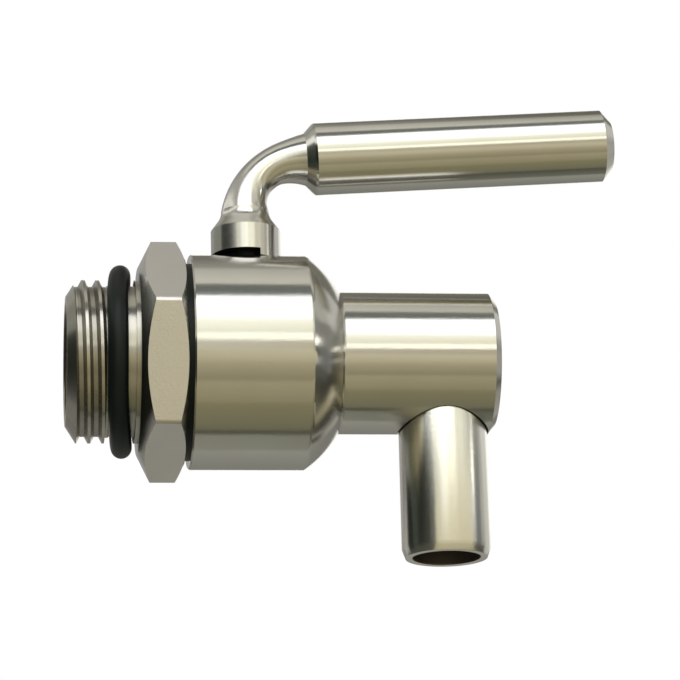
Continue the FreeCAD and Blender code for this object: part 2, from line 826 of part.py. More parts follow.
def make_lever_grip():
    """Flare and straight round grip, turned about its own axis and tilted up."""
    body = new_body("lever_grip")
    grip_edge = total(size("flare_length"), size("flare_edge_break"))
    grip_chamfer = less(size("grip_length"), size("grip_end_chamfer_length"))
    end_r = less(size("grip_r"), size("grip_end_chamfer_depth"))
    turn(
        body,
        "Revolution",
        "grip_turned",
        [
            ("0", "0"),
            ("0", size("arm_end_r")),
            (size("flare_length"), size("flare_lip_r")),
            (grip_edge, size("grip_r")),
            (grip_chamfer, size("grip_r")),
            (size("grip_length"), end_r),
            (size("grip_length"), "0"),
        ],
    )
    body.Placement.Rotation = FreeCAD.Rotation(FreeCAD.Vector(0, -1, 0), value(size("grip_tilt")))
    return bind(
        body,
        Placement__Base__x=grip_x,
        Placement__Base__z=grip_z,
        Placement__Rotation__Angle=size("grip_tilt"),
    )


def make_lever():
    """Hub, arm and grip as one bar, with the grub screw's hole at the back of the hub."""
    bar = doc.addObject("Part::MultiFuse", "lever_bar")
    bar.Shapes = [make_lever_hub(), make_lever_arm(), make_lever_grip()]
    bar.Refine = True
    hole = doc.addObject("Part::Cylinder", "lever_screw_hole")
    hole.Placement.Rotation = FreeCAD.Rotation(FreeCAD.Vector(1, 0, 0), -90)
    bind(hole, Radius=screw_hole_r, Height="2 * Sizes.hub_r", Placement__Base__z=screw_z)
    lever = doc.addObject("Part::Cut", "lever")
    lever.Base = bar
    lever.Tool = hole
    return bind(lever, Placement__Base__x=stem_x)


def make_hub_grub_screw():
    """Grub screw that bears on the stem's flat, with a hexagon socket."""
    shank = doc.addObject("Part::Cylinder", "screw_shank")
    bind(shank, Radius=size("screw_r"), Height=size("screw_length"))
    socket = doc.addObject("Part::Prism", "screw_socket")
    socket.Polygon = 6
    bind(
        socket,
        Circumradius=size("screw_socket_r"),
        Height=size("screw_length"),
        Placement__Base__z=less(size("screw_length"), size("screw_socket_depth")),
    )
    screw = doc.addObject("Part::Cut", "hub_grub_screw")
    screw.Base = shank
    screw.Tool = socket
    screw.Placement.Rotation = FreeCAD.Rotation(FreeCAD.Vector(1, 0, 0), -90)
    return bind(
        screw,
        Placement__Base__x=stem_x,
        Placement__Base__y=screw_tip,
        Placement__Base__z=screw_z,
    )


pieces = [
    make_body(),
    make_spout_tube(),
    make_inlet_connector(),
    make_inlet_o_ring(),
    make_joint_ring(),
    make_seat_ring("inlet_seat_ring", -1),
    make_seat_ring("outlet_seat_ring", 1),
    make_ball(),
    make_stem(),
    make_thrust_washer(),
    make_stem_o_ring("stem_o_ring_lower", lower_ring_z),
    make_stem_o_ring("stem_o_ring_upper", upper_ring_z),
    make_stop_pin(),
    make_lever(),
    make_hub_grub_screw(),
]
doc.recompute()

for thing in doc.Objects:
    if "Invalid" in thing.State or "Error" in thing.State:
        raise RuntimeError(thing.Label + " failed")
for piece in pieces:
    if piece.Shape.isNull() or not piece.Shape.isValid() or not piece.Shape.Solids:
        raise RuntimeError(piece.Label + " has no valid solid")

os.makedirs("parts", exist_ok=True)
for piece in pieces:
    piece.Shape.exportStep("parts/%s.step" % piece.Label)
    print("%-20s %d solid, %9.2f mm3" % (piece.Label, len(piece.Shape.Solids), piece.Shape.Volume))
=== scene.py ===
"""Looks of a quarter-turn drum tap: turned stainless steel with a black sealing ring, on a white set.

Metres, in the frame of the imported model: +X along the flow, +Z up the stem, -Y towards the viewer.
"""
import json
import math
from collections import namedtuple

import bpy
from mathutils import Matrix, Vector


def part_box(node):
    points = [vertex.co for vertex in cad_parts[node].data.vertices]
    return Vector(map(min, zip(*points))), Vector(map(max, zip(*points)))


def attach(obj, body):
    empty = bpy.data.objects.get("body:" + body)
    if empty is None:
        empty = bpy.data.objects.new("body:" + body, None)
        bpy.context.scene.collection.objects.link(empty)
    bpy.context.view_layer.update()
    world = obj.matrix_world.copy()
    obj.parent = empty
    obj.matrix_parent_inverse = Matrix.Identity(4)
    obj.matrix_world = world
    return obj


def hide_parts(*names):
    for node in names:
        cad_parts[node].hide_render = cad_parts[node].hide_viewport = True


MM = 0.001
FLOW_AXIS = (1.0, 0.0, 0.0)
UPRIGHT = (0.0, 0.0, 1.0)

# Inlet connector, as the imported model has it
NOSE_CHAMFER_LENGTH = 1.35 * MM
NOSE_CHAMFER_DEPTH = 2.1 * MM
MOUTH_BREAK = 0.25 * MM
RELIEF_WIDTH = 3.8 * MM
RELIEF_DEPTH = 0.73 * MM
NOSE_TO_HEXAGON = 9.2 * MM
ACROSS_FLATS = 27.0 * MM
HEXAGON_CLOCK = math.radians(14.3)
HEXAGON_CORNER_ROUND = 0.4 * MM
HEXAGON_CORNER_SEGMENTS = 5
HEXAGON_EDGE_ROUND = 0.1 * MM
HEXAGON_EDGE_SEGMENTS = 2
LEFT_CHAMFER_INSET = 1.4 * MM
LEFT_CHAMFER_SLOPE = 0.5
RIGHT_CHAMFER_INSET = 0.2 * MM
RIGHT_CHAMFER_SLOPE = 0.484
SPIGOT_RADIUS = 10.98 * MM
SPIGOT_CHAMFER = 0.4 * MM
SEAT_POCKET_RADIUS = 6.62 * MM
SEAT_BORE_RADIUS = 4.6 * MM
SEAT_BACK_X = 13.1 * MM

# Thread of the inlet, G 1/2, its crests worn as low as the picture shows them
THREAD_PITCH = 25.4 / 14 * MM
THREAD_DEPTH = 0.85 * MM
THREAD_FLANK = math.radians(27.5)
GROOVE_ROOT_FLAT = 0.55 * MM
GROOVE_TURNS = 4
GROOVE_START_X = -4.2245 * MM
COIL_EXCESS = 0.05 * MM
CREST_BREADTH = 0.12 * MM

# Drop tube of the spout
TUBE_CHAMFER_LENGTH = 1.2 * MM
TUBE_CHAMFER_DEPTH = 0.45 * MM
TUBE_MOUTH_BREAK = 0.15 * MM
TUBE_EDGE_ROUND = 0.08 * MM
TUBE_EDGE_SEGMENTS = 3

# Lever: where its grip starts and points, its hub, and the top of the notch in the hub's foot
GRIP_START = Vector((28.23, 0.0, 27.66)) * MM
GRIP_TILT = math.radians(3.53)
GRIP_AXIS = (math.cos(GRIP_TILT), 0.0, math.sin(GRIP_TILT))
HUB_TOP = 18.8 * MM
HUB_RADIUS = 4.5 * MM
NOTCH_TOP = 14.3 * MM

# Sealing ring: its play behind, how far its front has crept to the thread, how much went along
RING_BACK_PLAY = 0.2 * MM
RING_FRONT_SHARE = 0.97
RING_CREEP = 0.92 * MM
RING_CREEP_REACH = 15.0 * MM

# Meshes: how finely they are drawn, how far a hidden end laps, and which edges count as sharp
TURNED_SIDES = 192
CHAMFER_SIDES = 240
GROOVE_STEPS = 96
RING_SECTION_SIDES = 48
HIDDEN_LAP = 0.5 * MM
MERGE_DISTANCE = 0.001 * MM
SHARP_EDGE = math.radians(30)
BEVELLED_EDGE = math.radians(25)

# Tints of the steel, each where it is clean and where it was handled, and how large such patches are
STEEL = ("#CFCECA", "#C8C6C1")
# A darker copy of the steel for the inlet thread: painted shade
THREAD_STEEL_PAINTED_DARKER = ("#BCB9B2", "#AEABA3")
# A lighter copy of the steel for the spout tube: painted light
SPOUT_STEEL_PAINTED_LIGHTER = ("#F4F3EE", "#ECEBE6")
DRAWN_STEEL = ("#DCD9D6", "#D2CFCD")
# Near black steel for the stem and the stop pin, which show in the hub's notch: painted shade
STEM_STEEL_PAINTED_BLACK = ("#1C201C", "#101410")
HANDLING_PATCH = 6 * MM

# Lathe lines and the streaks among them, drawn coarser than they are so that they show
LATHE_LINE = 0.22 * MM
LATHE_STREAK = 9.0 * MM
LATHE_STREAK_SHARE = 0.5
LATHE_DEPTH = 0.004 * MM
LATHE_ANISOTROPY = 0.75

# Turned finishes: tints, least and most roughness, then length, breadth and depth of the grain
TurnedFinish = namedtuple("TurnedFinish", "tints roughness grain_length grain_breadth grain_depth")
BODY_FINISH = TurnedFinish(STEEL, (0.16, 0.21), 2.5 * MM, 0.35 * MM, 0.005 * MM)
SPOUT_FINISH = TurnedFinish(SPOUT_STEEL_PAINTED_LIGHTER, (0.22, 0.27), 0.25 * MM, 0.5 * MM, 0.012 * MM)
CONNECTOR_FINISH = TurnedFinish(THREAD_STEEL_PAINTED_DARKER, (0.24, 0.3), 1.0 * MM, 0.3 * MM, 0.003 * MM)
CHAMFER_FINISH = TurnedFinish(STEEL, (0.2, 0.25), 1.0 * MM, 0.3 * MM, 0.002 * MM)
HUB_FINISH = TurnedFinish(STEEL, (0.17, 0.22), 1.5 * MM, 0.4 * MM, 0.002 * MM)
GRIP_FINISH = TurnedFinish(STEEL, (0.17, 0.22), 3.0 * MM, 0.5 * MM, 0.002 * MM)

# Even finishes: tints, least and most roughness, then breadth and depth of the grain
EvenFinish = namedtuple("EvenFinish", "tints roughness grain grain_depth")
FLATS_FINISH = EvenFinish(DRAWN_STEEL, (0.33, 0.42), 0.3 * MM, 0.02 * MM)
BALL_FINISH = EvenFinish(STEEL, (0.08, 0.12), 0.4 * MM, 0.0005 * MM)
PIN_FINISH = EvenFinish(STEEL, (0.25, 0.3), 0.2 * MM, 0.002 * MM)
STEM_PAINTED_SHADE_FINISH = EvenFinish(STEM_STEEL_PAINTED_BLACK, (0.4, 0.5), 0.2 * MM, 0.002 * MM)

# Where one finish gives way to another: painted shade at the thread's root, painted shade past the bore's wall,
# and how squarely a face has to look along the flow to be one of the turned chamfers
THREAD_ROOT_SHADE_SHARE = 0.35
BORE_SHADE_REACH = 0.08 * MM
CHAMFER_FACING = 0.6

# Rubber and fluoropolymer
RUBBER_SKIN = 0.35 * MM
RUBBER_SKIN_DEPTH = 0.01 * MM
RUBBER_DUST_PATCH = 4 * MM
SKIVED_GRAIN = 0.3 * MM
SKIVED_GRAIN_DEPTH = 0.004 * MM

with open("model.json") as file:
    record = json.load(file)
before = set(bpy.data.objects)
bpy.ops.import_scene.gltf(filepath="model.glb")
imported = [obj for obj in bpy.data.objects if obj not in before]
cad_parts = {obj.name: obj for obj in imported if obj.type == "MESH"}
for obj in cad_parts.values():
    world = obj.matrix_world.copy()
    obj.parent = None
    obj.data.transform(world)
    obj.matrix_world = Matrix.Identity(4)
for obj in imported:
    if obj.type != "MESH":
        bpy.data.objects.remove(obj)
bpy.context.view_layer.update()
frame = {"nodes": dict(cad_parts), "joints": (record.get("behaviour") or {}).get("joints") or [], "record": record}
bpy.ops.object.select_all(action="DESELECT")

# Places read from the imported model
node = frame["nodes"]
mount = {item["name"]: item for item in frame["record"]["mounts"]}
stem_axis = Vector(frame["joints"][0]["pos_m"])
thread_radius = mount["inlet_thread"]["dims"]["r_mm"] * MM
thread_half = mount["inlet_thread"]["dims"]["length_mm"] * MM / 2
bore_radius = mount["inlet_bore"]["dims"]["r_mm"] * MM
bore_depth = mount["inlet_bore"]["dims"]["length_mm"] * MM
spout_x = mount["spout_outlet"]["pos_m"][0]
spout_radius = mount["spout_outlet"]["dims"]["r_mm"] * MM
spout_bore_radius = mount["spout_bore"]["dims"]["r_mm"] * MM
nose_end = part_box("inlet_connector")[0].x
spigot_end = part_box("inlet_connector")[1].x
hexagon_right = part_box("joint_ring")[0].x
hexagon_left = nose_end + NOSE_TO_HEXAGON
relief_end = thread_half + RELIEF_WIDTH


def linear(code):
    """A hex sRGB colour as the linear colour with alpha that a socket takes."""
    channels = [int(code[i : i + 2], 16) / 255 for i in (1, 3, 5)]
    return [c / 12.92 if c <= 0.04045 else ((c + 0.055) / 1.055) ** 2.4 for c in channels] + [1.0]


def add_node(tree, kind, inputs=None, **settings):
    """A node with its settings; an input is given a number, a colour or another node's output."""
    made = tree.nodes.new(kind)
    for name, setting in settings.items():
        setattr(made, name, setting)
    for name, given in (inputs or {}).items():
        if isinstance(given, bpy.types.NodeSocket):
            tree.links.new(given, made.inputs[name])
        else:
            made.inputs[name].default_value = given
    return made


def new_material(name):
    """An empty node material and its tree."""
    material = bpy.data.materials.new(name)
    material.use_nodes = True
    material.node_tree.nodes.clear()
    return material, material.node_tree


def finish_material(tree, shader):
    """Lead a shader to the material's output."""
    add_node(tree, "ShaderNodeOutputMaterial", {"Surface": shader.outputs[0]})


def from_axis(tree, point):
    """Where the surface is, measured from a point on the axis it was turned about."""
    place = add_node(tree, "ShaderNodeTexCoord").outputs["Object"]
    moved = add_node(tree, "ShaderNodeVectorMath", {0: place, 1: point}, operation="SUBTRACT")
    return moved.outputs[0]


def pattern_scale(axis, along, across):
    """Scale of a pattern so long along an axis, which lies near one of the frame's, and so broad."""
    return [1 / (along if abs(part) > 0.5 else across) for part in axis]


def across_the_lathe_lines(tree, offset, axis):
    """World direction that lies in the surface and crosses the lines that the tool left."""
    around = add_node(tree, "ShaderNodeVectorMath", {0: axis, 1: offset}, operation="CROSS_PRODUCT")
    outward = add_node(tree, "ShaderNodeTexCoord").outputs["Normal"]
    across = add_node(
        tree, "ShaderNodeVectorMath", {0: around.outputs[0], 1: outward}, operation="CROSS_PRODUCT"
    )
    unit = add_node(tree, "ShaderNodeVectorMath", {0: across.outputs[0]}, operation="NORMALIZE")
    turned = add_node(
        tree,
        "ShaderNodeVectorTransform",
        {0: unit.outputs[0]},
        vector_type="VECTOR",
        convert_from="OBJECT",
        convert_to="WORLD",
    )
    return turned.outputs[0]


def lathe_height(tree, offset, axis):
    """Height of the tool's lines, which vary along the axis, mixed with short streaks round it."""
    along = add_node(tree, "ShaderNodeVectorMath", {0: offset, 1: axis}, operation="DOT_PRODUCT")
    lines = add_node(
        tree,
        "ShaderNodeTexNoise",
        {"W": along.outputs["Value"], "Scale": 1 / LATHE_LINE, "Detail": 2.0, "Roughness": 0.6},
        noise_dimensions="1D",
    )
    stretched = add_node(
        tree,
        "ShaderNodeMapping",
        {"Vector": offset, "Scale": pattern_scale(axis, LATHE_LINE, LATHE_STREAK)},
    )
    streaks = add_node(
        tree,
        "ShaderNodeTexNoise",
        {"Vector": stretched.outputs[0], "Scale": 1.0, "Detail": 2.0, "Roughness": 0.5},
    )
    mixed = add_node(
        tree,
        "ShaderNodeMix",
        {"Factor": LATHE_STREAK_SHARE, 2: lines.outputs[0], 3: streaks.outputs[0]},
        data_type="FLOAT",
    )
    return mixed.outputs[0]


def even_grain(tree, grain, depth, detail=3.0):
    """Relief of a fine grain that is the same in every direction."""
    place = add_node(tree, "ShaderNodeTexCoord").outputs["Object"]
    height = add_node(
        tree, "ShaderNodeTexNoise", {"Vector": place, "Scale": 1 / grain, "Detail": detail}
    )
    relief = add_node(
        tree, "ShaderNodeBump", {"Height": height.outputs[0], "Strength": 1.0, "Distance": depth}
    )
    return relief.outputs[0]


def steel_shader(tree, tints, roughness, anisotropic, normal, tangent=None):
    """Stainless steel: a metal whose tint and gloss vary a little where it was handled."""
    place = add_node(tree, "ShaderNodeTexCoord").outputs["Object"]
    clouds = add_node(
        tree, "ShaderNodeTexNoise", {"Vector": place, "Scale": 1 / HANDLING_PATCH, "Detail": 3.0}
    )
    tint = add_node(
        tree,
        "ShaderNodeMix",
        {"Factor": clouds.outputs[0], 6: linear(tints[0]), 7: linear(tints[1])},
        data_type="RGBA",
    )
    gloss = add_node(
        tree,
        "ShaderNodeMapRange",
        {"Value": clouds.outputs[0], "To Min": roughness[0], "To Max": roughness[1]},
    )
    inputs = {
        "Base Color": tint.outputs[2],
        "Metallic": 1.0,
        "Roughness": gloss.outputs[0],
        "Anisotropic": anisotropic,
        "Normal": normal,
    }
    if tangent is not None:
        inputs["Tangent"] = tangent
    return add_node(tree, "ShaderNodeBsdfPrincipled", inputs)


def turned_shader(tree, point, axis, finish):
    """Shader of steel off the lathe, whose light runs along the axis in long bands.

    The tool's lines are finer than the picture shows, so they are drawn at about a fifth of a
    millimetre. The polish left a faint grain over them, which ruffles the bands.
    """
    offset = from_axis(tree, point)
    relief = add_node(
        tree,
        "ShaderNodeBump",
        {"Height": lathe_height(tree, offset, axis), "Strength": 1.0, "Distance": LATHE_DEPTH},
    )
    drawn = add_node(
        tree,
        "ShaderNodeMapping",
        {"Vector": offset, "Scale": pattern_scale(axis, finish.grain_length, finish.grain_breadth)},
    )
    grain = add_node(
        tree,
        "ShaderNodeTexNoise",
        {"Vector": drawn.outputs[0], "Scale": 1.0, "Detail": 3.0, "Roughness": 0.6},
    )
    ruffled = add_node(
        tree,
        "ShaderNodeBump",
        {
            "Height": grain.outputs[0],
            "Strength": 1.0,
            "Distance": finish.grain_depth,
            "Normal": relief.outputs[0],
        },
    )
    return steel_shader(
        tree,
        finish.tints,
        finish.roughness,
        LATHE_ANISOTROPY,
        ruffled.outputs[0],
        across_the_lathe_lines(tree, offset, axis),
    )


def even_shader(tree, finish):
    """Shader of steel with an even fine grain, which gives it a soft shine with no direction."""
    grain = even_grain(tree, finish.grain, finish.grain_depth)
    return steel_shader(tree, finish.tints, finish.roughness, 0.0, grain)


def turned_steel(name, point, axis, finish):
    """Stainless steel off the lathe and polished: long soft bands of light along its axis."""
    material, tree = new_material(name)
    finish_material(tree, turned_shader(tree, point, axis, finish))
    return material


def thread_with_painted_root_shade(tree, bare_steel, along, reach):
    """Painted shade in the grooves of the thread, darkest at their root, over its bare steel."""
    # Painted shade: dark brown dull steel, mixed in more deeply towards the root of the thread
    thread_root_shade = add_node(
        tree,
        "ShaderNodeBsdfPrincipled",
        {"Base Color": linear("#4C483E"), "Metallic": 0.7, "Roughness": 0.42},
    )
    depth = add_node(
        tree,
        "ShaderNodeMapRange",
        {
            "Value": reach,
            "From Min": thread_radius - THREAD_DEPTH,
            "From Max": thread_radius - CREST_BREADTH,
            "To Min": THREAD_ROOT_SHADE_SHARE,
            "To Max": 0.0,
        },
    )
    behind_chamfer = add_node(
        tree,
        "ShaderNodeMath",
        {0: along, 1: nose_end + NOSE_CHAMFER_LENGTH},
        operation="GREATER_THAN",
    )
    before_relief = add_node(
        tree, "ShaderNodeMath", {0: along, 1: thread_half}, operation="LESS_THAN"
    )
    on_thread = add_node(
        tree,
        "ShaderNodeMath",
        {0: behind_chamfer.outputs[0], 1: before_relief.outputs[0]},
        operation="MULTIPLY",
    )
    share = add_node(
        tree, "ShaderNodeMath", {0: depth.outputs[0], 1: on_thread.outputs[0]}, operation="MULTIPLY"
    )
    return add_node(
        tree, "ShaderNodeMixShader", {0: share.outputs[0], 1: bare_steel.outputs[0], 2: thread_root_shade.outputs[0]}
    )


def bored_steel(name, point, axis, wall_radius, finish, threaded=False):
    """Turned steel outside; inside the bore a dull dark brown surface, painted shade."""
    material, tree = new_material(name)
    outside = turned_shader(tree, point, axis, finish)
    offset = from_axis(tree, point)
    along = add_node(tree, "ShaderNodeVectorMath", {0: offset, 1: axis}, operation="DOT_PRODUCT")
    on_axis = add_node(
        tree, "ShaderNodeVectorMath", {0: axis, "Scale": along.outputs["Value"]}, operation="SCALE"
    )
    reach = add_node(
        tree, "ShaderNodeVectorMath", {0: offset, 1: on_axis.outputs[0]}, operation="DISTANCE"
    )
    if threaded:
        outside = thread_with_painted_root_shade(tree, outside, along.outputs["Value"], reach.outputs["Value"])
    inside = add_node(
        tree,
        "ShaderNodeMath",
        {0: reach.outputs["Value"], 1: wall_radius + BORE_SHADE_REACH},
        operation="LESS_THAN",
    )
    # Painted shade: inside the bore the steel gives way to dark brown, dull steel
    bore_painted_shade = add_node(
        tree,
        "ShaderNodeBsdfPrincipled",
        {"Base Color": linear("#4A4238"), "Metallic": 0.8, "Roughness": 0.45},
    )
    shader = add_node(
        tree, "ShaderNodeMixShader", {0: inside.outputs[0], 1: outside.outputs[0], 2: bore_painted_shade.outputs[0]}
    )
    finish_material(tree, shader)
    return material


def turned_steel_with_painted_notch_shade(name):
    """The lever's turned steel, painted near black inside the notch at the foot of its hub: painted shade."""
    material, tree = new_material(name)
    hub = turned_shader(tree, stem_axis, UPRIGHT, HUB_FINISH)
    bar = turned_shader(tree, GRIP_START, GRIP_AXIS, GRIP_FINISH)
    place = add_node(tree, "ShaderNodeSeparateXYZ", {0: from_axis(tree, stem_axis)})
    height = place.outputs["Z"]
    on_bar = add_node(
        tree, "ShaderNodeMath", {0: height, 1: HUB_TOP - stem_axis.z}, operation="GREATER_THAN"
    )
    steel = add_node(
        tree, "ShaderNodeMixShader", {0: on_bar.outputs[0], 1: hub.outputs[0], 2: bar.outputs[0]}
    )
    level = add_node(
        tree, "ShaderNodeCombineXYZ", {"X": place.outputs["X"], "Y": place.outputs["Y"]}
    )
    out = add_node(tree, "ShaderNodeVectorMath", {0: level.outputs[0]}, operation="LENGTH")
    within = add_node(
        tree, "ShaderNodeMath", {0: out.outputs["Value"], 1: HUB_RADIUS}, operation="LESS_THAN"
    )
    low = add_node(
        tree, "ShaderNodeMath", {0: height, 1: NOTCH_TOP - stem_axis.z}, operation="LESS_THAN"
    )
    in_notch = add_node(
        tree, "ShaderNodeMath", {0: within.outputs[0], 1: low.outputs[0]}, operation="MULTIPLY"
    )
    # Painted shade: inside the notch the steel gives way to a near black, dull surface
    notch_painted_shade = add_node(
        tree,
        "ShaderNodeBsdfPrincipled",
        {"Base Color": linear("#0A0C0A"), "Roughness": 0.5, "Specular IOR Level": 0.2},
    )
    shader = add_node(
        tree,
        "ShaderNodeMixShader",
        {0: in_notch.outputs[0], 1: steel.outputs[0], 2: notch_painted_shade.outputs[0]},
    )
    finish_material(tree, shader)
    return material


def satin_steel(name, finish):
    """Stainless steel as grinding or lapping leaves it: a soft shine."""
    material, tree = new_material(name)
    finish_material(tree, even_shader(tree, finish))
    return material


def chamfered_bar_steel(name):
    """Drawn bar with dull flats, whose corners were turned down bright on both faces."""
    material, tree = new_material(name)
    flats = even_shader(tree, FLATS_FINISH)
    turned = turned_shader(tree, (0, 0, 0), FLOW_AXIS, CHAMFER_FINISH)
    facing = add_node(
        tree, "ShaderNodeSeparateXYZ", {0: add_node(tree, "ShaderNodeTexCoord").outputs["Normal"]}
    )
    steepness = add_node(tree, "ShaderNodeMath", {0: facing.outputs["X"]}, operation="ABSOLUTE")
    on_chamfer = add_node(
        tree, "ShaderNodeMath", {0: steepness.outputs[0], 1: CHAMFER_FACING}, operation="GREATER_THAN"
    )
    shader = add_node(
        tree,
        "ShaderNodeMixShader",
        {0: on_chamfer.outputs[0], 1: flats.outputs[0], 2: turned.outputs[0]},
    )
    finish_material(tree, shader)
    return material


def moulded_rubber(name):
    """Nitrile rubber as it leaves the mould: near black, a soft sheen and a very fine skin."""
    material, tree = new_material(name)
    place = add_node(tree, "ShaderNodeTexCoord").outputs["Object"]
    dust = add_node(
        tree, "ShaderNodeTexNoise", {"Vector": place, "Scale": 1 / RUBBER_DUST_PATCH, "Detail": 4.0}
    )
    tint = add_node(
        tree,
        "ShaderNodeMix",
        {"Factor": dust.outputs[0], 6: linear("#030D0A"), 7: linear("#081612")},
        data_type="RGBA",
    )
    shader = add_node(
        tree,
        "ShaderNodeBsdfPrincipled",
        {
            "Base Color": tint.outputs[2],
            "Roughness": 0.42,
            "IOR": 1.52,
            "Specular IOR Level": 0.22,
            "Normal": even_grain(tree, RUBBER_SKIN, RUBBER_SKIN_DEPTH),
        },
    )
    finish_material(tree, shader)
    return material


def skived_fluoropolymer(name):
    """White fluoropolymer turned from rod: plain, waxy and dull."""
    material, tree = new_material(name)
    shader = add_node(
        tree,
        "ShaderNodeBsdfPrincipled",
        {
            "Base Color": linear("#E9E8E2"),
            "Roughness": 0.5,
            "IOR": 1.35,
            "Normal": even_grain(tree, SKIVED_GRAIN, SKIVED_GRAIN_DEPTH, detail=2.0),
        },
    )
    finish_material(tree, shader)
    return material


body_steel = turned_steel("turned_stainless_body", (0, 0, 0), FLOW_AXIS, BODY_FINISH)
spout_steel = bored_steel(
    "turned_stainless_spout", (spout_x, 0, 0), UPRIGHT, spout_bore_radius, SPOUT_FINISH
)
connector_steel = bored_steel(
    "turned_stainless_thread", (0, 0, 0), FLOW_AXIS, bore_radius, CONNECTOR_FINISH, threaded=True
)
hexagon_steel = chamfered_bar_steel("drawn_stainless_bar")
lever_steel = turned_steel_with_painted_notch_shade("turned_stainless_lever")
ball_steel = satin_steel("lapped_stainless_ball", BALL_FINISH)
pin_steel = satin_steel("ground_stainless_pin", PIN_FINISH)
# Stem and stop pin painted near black: painted shade in the hub's notch
stem_painted_shade_steel = satin_steel("stem_painted_shade_black", STEM_PAINTED_SHADE_FINISH)
black_rubber = moulded_rubber("moulded_nitrile_rubber")
white_fluoropolymer = skived_fluoropolymer("turned_white_fluoropolymer")

NODE_MATERIALS = {
    "body": body_steel,
    "spout_tube": spout_steel,
    "inlet_connector": connector_steel,
    "lever": lever_steel,
    "inlet_o_ring": black_rubber,
    "joint_ring": black_rubber,
    "stem_o_ring_lower": black_rubber,
    "stem_o_ring_upper": black_rubber,
    "inlet_seat_ring": white_fluoropolymer,
    "outlet_seat_ring": white_fluoropolymer,
    "stem_thrust_washer": white_fluoropolymer,
    "ball": ball_steel,
    "stem": stem_painted_shade_steel,
    "stop_pin": stem_painted_shade_steel,
    "hub_grub_screw": pin_steel,
}
for name, material in NODE_MATERIALS.items():
    node[name].material_slots[0].material = material


def select_vertices(test):
    """In edit mode, select only the vertices whose place passes a test."""
    bpy.ops.mesh.select_mode(type="VERT")
    bpy.ops.mesh.select_all(action="DESELECT")
    bpy.ops.object.mode_set(mode="OBJECT")
    for vertex in bpy.context.object.data.vertices:
        vertex.select = test(vertex.co)
    bpy.ops.object.mode_set(mode="EDIT")


def select_edges(test):
    """In edit mode, select only the edges whose middle passes a test."""
    bpy.ops.mesh.select_mode(type="EDGE")
    bpy.ops.mesh.select_all(action="DESELECT")
    bpy.ops.object.mode_set(mode="OBJECT")
    mesh = bpy.context.object.data
    for edge in mesh.edges:
        first, second = (mesh.vertices[i].co for i in edge.vertices)
        edge.select = test((first + second) / 2)
    bpy.ops.object.mode_set(mode="EDIT")


def select_only(thing):
    """Select one object alone and make it the active one."""
    bpy.ops.object.select_all(action="DESELECT")
    thing.select_set(True)
    bpy.context.view_layer.objects.active = thing


def apply_place(thing):
    """Put an object's place, turn and scale into its mesh."""
    select_only(thing)
    bpy.ops.object.transform_apply(location=True, rotation=True, scale=True)


def turned_blank(name, profile, sides):
    """A turned solid about the flow axis, drawn ring by ring round its closed profile of (x, r)."""
    x, radius = profile[0]
    bpy.ops.mesh.primitive_circle_add(
        vertices=sides, radius=radius, location=(x, 0, 0), rotation=(0, math.pi / 2, 0)
    )
    blank = bpy.context.object
    blank.name = name
    apply_place(blank)
    bpy.ops.object.mode_set(mode="EDIT")
    bpy.ops.mesh.select_all(action="SELECT")
    for next_x, next_radius in profile[1:] + profile[:1]:
        bpy.ops.mesh.extrude_edges_move(TRANSFORM_OT_translate={"value": (next_x - x, 0, 0)})
        growth = next_radius / radius
        bpy.ops.transform.resize(value=(1, growth, growth), center_override=(next_x, 0, 0))
        x, radius = next_x, next_radius
    bpy.ops.mesh.select_all(action="SELECT")
    bpy.ops.mesh.remove_doubles(threshold=MERGE_DISTANCE)
    bpy.ops.mesh.normals_make_consistent(inside=False)
    bpy.ops.object.mode_set(mode="OBJECT")
    return blank


def boolean(target, tool, operation):
    """Cut a tool out of a target, or keep what both hold, and throw the tool away."""
    bpy.context.view_layer.objects.active = target
    modifier = target.modifiers.new(operation, "BOOLEAN")
    modifier.operation = operation
    modifier.object = tool
    modifier.solver = "EXACT"
    bpy.ops.object.modifier_apply(modifier=modifier.name)
    bpy.data.objects.remove(tool, do_unlink=True)


def round_edges(target, width, segments):
    """Round every sharp edge a little."""
    bpy.context.view_layer.objects.active = target
    modifier = target.modifiers.new("edge_round", "BEVEL")
    modifier.width = width
    modifier.segments = segments
    modifier.limit_method = "ANGLE"
    modifier.angle_limit = BEVELLED_EDGE
    modifier.use_clamp_overlap = True
    bpy.ops.object.modifier_apply(modifier=modifier.name)


def shade_smooth(target):
    """Shade an object smooth, with its sharp edges left crisp."""
    select_only(target)
    bpy.ops.object.shade_smooth_by_angle(angle=SHARP_EDGE)


def flatten_faces(target):
    """Let the large faces keep their own direction, so only the rounded edges between them turn."""
    bpy.context.view_layer.objects.active = target
    modifier = target.modifiers.new("flat_faces", "WEIGHTED_NORMAL")
    modifier.weight = 100
    modifier.keep_sharp = True
    bpy.ops.object.modifier_apply(modifier=modifier.name)


